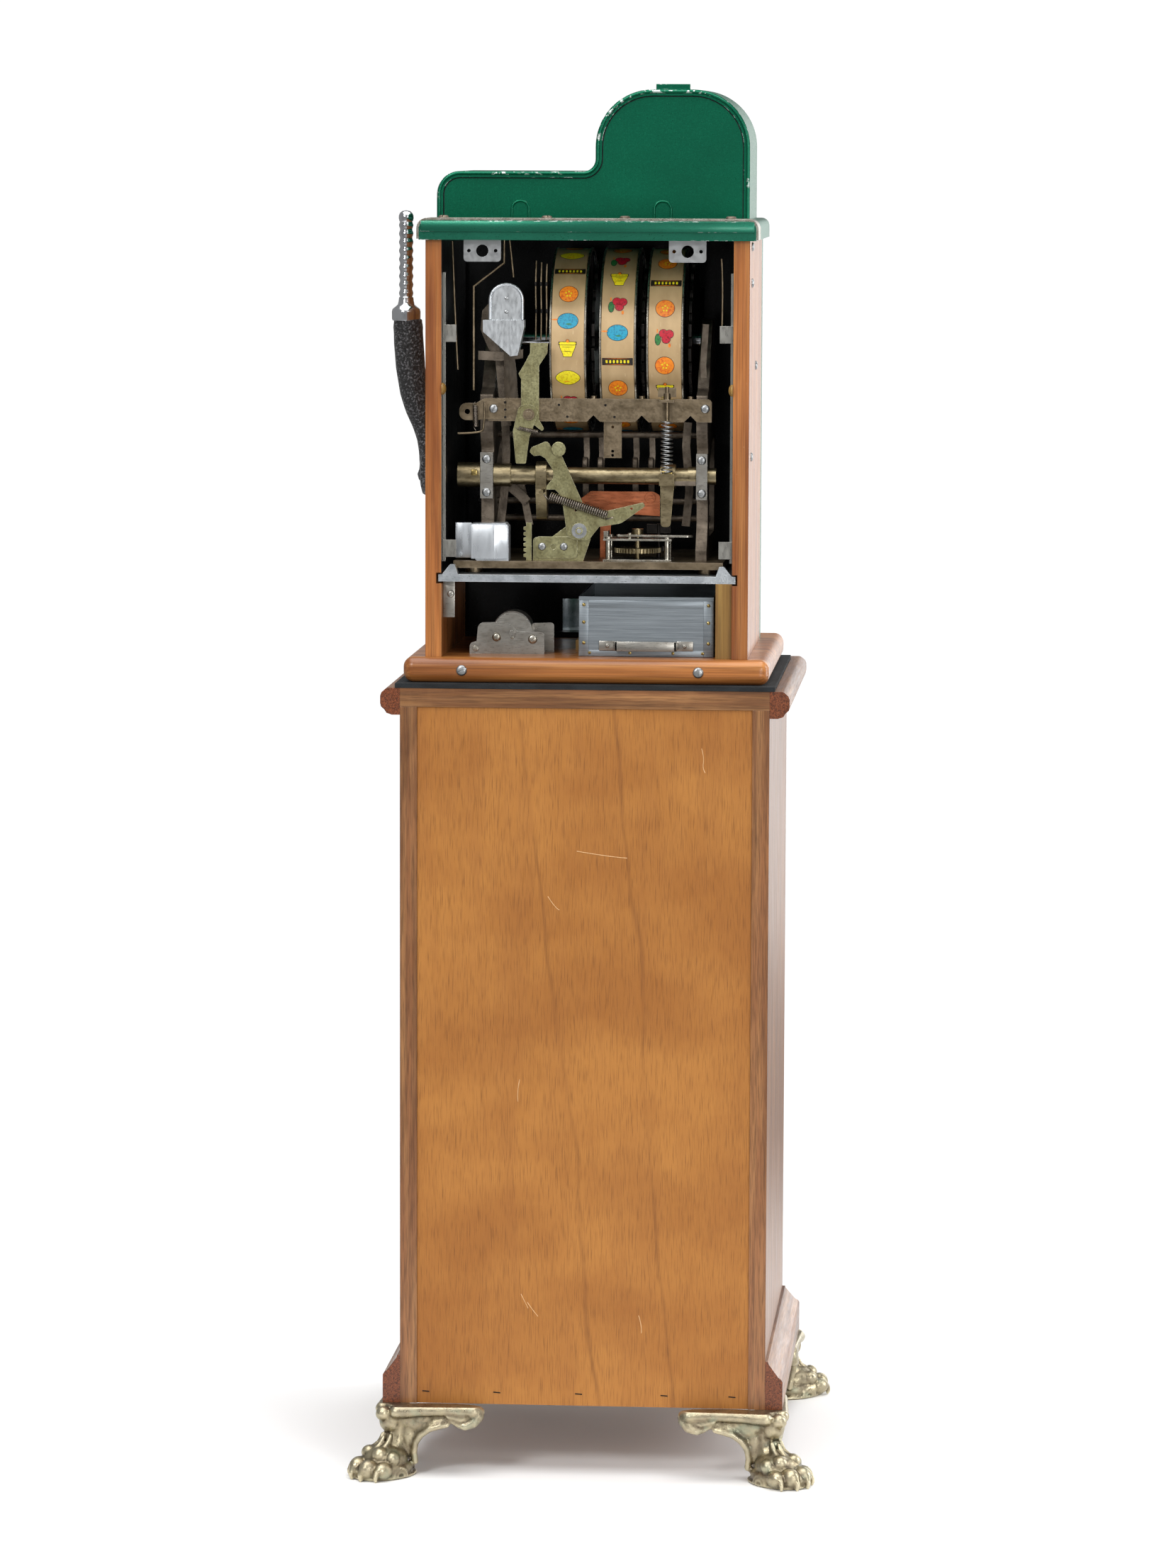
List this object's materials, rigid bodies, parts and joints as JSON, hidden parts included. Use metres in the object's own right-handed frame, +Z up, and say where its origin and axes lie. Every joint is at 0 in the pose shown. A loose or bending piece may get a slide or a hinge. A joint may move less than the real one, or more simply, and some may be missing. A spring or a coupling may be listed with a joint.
{
  "type": "reel slot machine on stand",
  "caption": "Mechanical reel gaming machine with open back, pull handle and reel mechanism, standing on a wooden pedestal cabinet with claw feet.",
  "frame": {"origin": "on the floor under the middle of the four claw feet", "axes": "+Z up, +Y out of the open back of the machine, +X towards the pull handle, which is on the player's right"},
  "size_m": [0.522, 0.528, 1.552],
  "materials": {
    "oak": "satin",
    "plywood": "satin",
    "case_wood": "gloss",
    "antique_brass": "satin",
    "black_rubber": "matte",
    "green_enamel": "gloss",
    "cast_aluminium": "satin",
    "brown_steel": "satin",
    "zinc_steel": "satin",
    "galvanised": "satin",
    "dark_iron": "matte",
    "chrome": "gloss",
    "black_crinkle": "matte",
    "reel_gold": "satin",
    "clear_glass": "gloss",
    "copper": "satin",
    "bronze_plate": "satin",
    "guide_wood": "satin"
  },
  "bodies": {
    "cabinet": {"base_board": "case_wood", "base_moulding": "oak", "bearing_caps": "dark_iron", "cabinet_side_left": "case_wood", "cabinet_side_right": "case_wood", "cash_box_guides": "guide_wood", "claw_foot_front_left": "antique_brass", "claw_foot_front_right": "antique_brass", "claw_foot_rear_left": "antique_brass", "claw_foot_rear_right": "antique_brass", "clock_frame": "antique_brass", "coin_box": "cast_aluminium", "coin_chute": "cast_aluminium", "copper_baffle": "copper", "crown_moulding": "oak", "door_lugs": "galvanised", "floor_bracket": "galvanised", "front_casting": "green_enamel", "hook_lever_bracket": "zinc_steel", "hook_spring": "dark_iron", "machine_mat": "black_rubber", "mech_base": "dark_iron", "mech_frame_left": "dark_iron", "mech_frame_right": "dark_iron", "payout_cup": "cast_aluminium", "reel_glass": "clear_glass", "reel_shaft": "chrome", "round_head_screws": "galvanised", "shelf_casting": "cast_aluminium", "stand_back_panel": "plywood", "stand_bottom_board": "oak", "stand_front_frame": "oak", "stand_side_left": "oak", "stand_side_right": "oak", "stand_top_board": "oak", "tie_bar": "brown_steel", "top_casting": "green_enamel", "top_casting_back": "green_enamel", "top_cover": "green_enamel", "top_cover_trim": "brown_steel", "wing_nut_spring": "chrome"},
    "stand_door": {"stand_door": "oak", "stand_door_fittings": "antique_brass"},
    "pull_handle": {"handle_arm": "black_crinkle", "handle_grip": "chrome"},
    "main_shaft": {"main_shaft": "bronze_plate"},
    "reel_one": {"reel_one_drum": "reel_gold", "reel_one_star": "dark_iron"},
    "reel_two": {"reel_two_drum": "reel_gold", "reel_two_star": "dark_iron"},
    "reel_three": {"reel_three_drum": "reel_gold", "reel_three_star": "dark_iron"},
    "hook_lever": {"hook_lever": "zinc_steel"},
    "latch_upper": {"latch_lever_upper": "zinc_steel"},
    "latch_lower": {"latch_lever_lower": "zinc_steel"},
    "clock_gear": {"clock_gear": "antique_brass"},
    "clock_fan": {"clock_fan": "dark_iron"},
    "clock_arm": {"clock_arm": "bronze_plate"},
    "cash_box": {"cash_box": "galvanised"},
    "lock_bars": {"lock_bars": "dark_iron"}
  },
  "joints": [
    {"name": "stand_door_hinge", "type": "hinge", "parent": "cabinet", "child": "stand_door", "pos_m": [0.154, -0.2203, 0.5], "axis": [0, 0, 1], "range_deg": [0, 110]},
    {"name": "handle_pull", "type": "hinge", "parent": "cabinet", "child": "pull_handle", "pos_m": [0.19, 0, 1.113], "axis": [1, 0, 0], "range_deg": [0, 65], "stiffness_Nm_per_rad": 12, "springref_deg": -20.05},
    {"name": "main_shaft_turn", "type": "hinge", "parent": "cabinet", "child": "main_shaft", "pos_m": [0, 0.125, 1.1175], "axis": [1, 0, 0], "range_deg": [-38, 0]},
    {"name": "reel_one_spin", "type": "hinge", "parent": "cabinet", "child": "reel_one", "pos_m": [0.0268, 0.028, 1.2655], "axis": [1, 0, 0], "continuous": true},
    {"name": "reel_two_spin", "type": "hinge", "parent": "cabinet", "child": "reel_two", "pos_m": [-0.0288, 0.028, 1.2655], "axis": [1, 0, 0], "continuous": true},
    {"name": "reel_three_spin", "type": "hinge", "parent": "cabinet", "child": "reel_three", "pos_m": [-0.0814, 0.028, 1.2655], "axis": [1, 0, 0], "continuous": true},
    {"name": "hook_lever_pivot", "type": "hinge", "parent": "cabinet", "child": "hook_lever", "pos_m": [0.0101, 0.165, 1.0585], "axis": [0, 1, 0], "range_deg": [0, 3.5], "stiffness_Nm_per_rad": 0.25, "springref_deg": -20.05, "deforming": ["hook_spring"]},
    {"name": "latch_upper_pivot", "type": "hinge", "parent": "cabinet", "child": "latch_upper", "pos_m": [0.068, 0.147, 1.1863], "axis": [0, 1, 0], "range_deg": [-8, 0], "stiffness_Nm_per_rad": 0.1, "springref_deg": 17.19},
    {"name": "latch_lower_pivot", "type": "hinge", "parent": "cabinet", "child": "latch_lower", "pos_m": [0.068, 0.15, 1.1863], "axis": [0, 1, 0], "range_deg": [0, 8]},
    {"name": "clock_gear_spin", "type": "hinge", "parent": "cabinet", "child": "clock_gear", "pos_m": [-0.053, 0.14, 1.035], "axis": [0, 0, 1], "continuous": true},
    {"name": "clock_fan_spin", "type": "hinge", "parent": "cabinet", "child": "clock_fan", "pos_m": [-0.07506, 0.11794, 1.035], "axis": [0, 0, 1], "continuous": true},
    {"name": "clock_arm_turn", "type": "hinge", "parent": "cabinet", "child": "clock_arm", "pos_m": [-0.086, 0.125, 1.1175], "axis": [1, 0, 0], "range_deg": [0, 12], "stiffness_Nm_per_rad": 0.4, "springref_deg": -17.19, "deforming": ["wing_nut_spring"]},
    {"name": "cash_box_slide", "type": "slide", "parent": "cabinet", "child": "cash_box", "axis": [0, 1, 0], "range_m": [0, 0.2]},
    {"name": "lock_bars_slide", "type": "slide", "parent": "cabinet", "child": "lock_bars", "axis": [0, 0, 1], "range_m": [0, 0.012]}
  ],
  "couplings": [
    {"joint": "main_shaft_turn", "follows": "handle_pull", "ratio": -0.55},
    {"joint": "latch_lower_pivot", "follows": "latch_upper_pivot", "ratio": -0.9},
    {"joint": "clock_fan_spin", "follows": "clock_gear_spin", "ratio": -5}
  ]
}
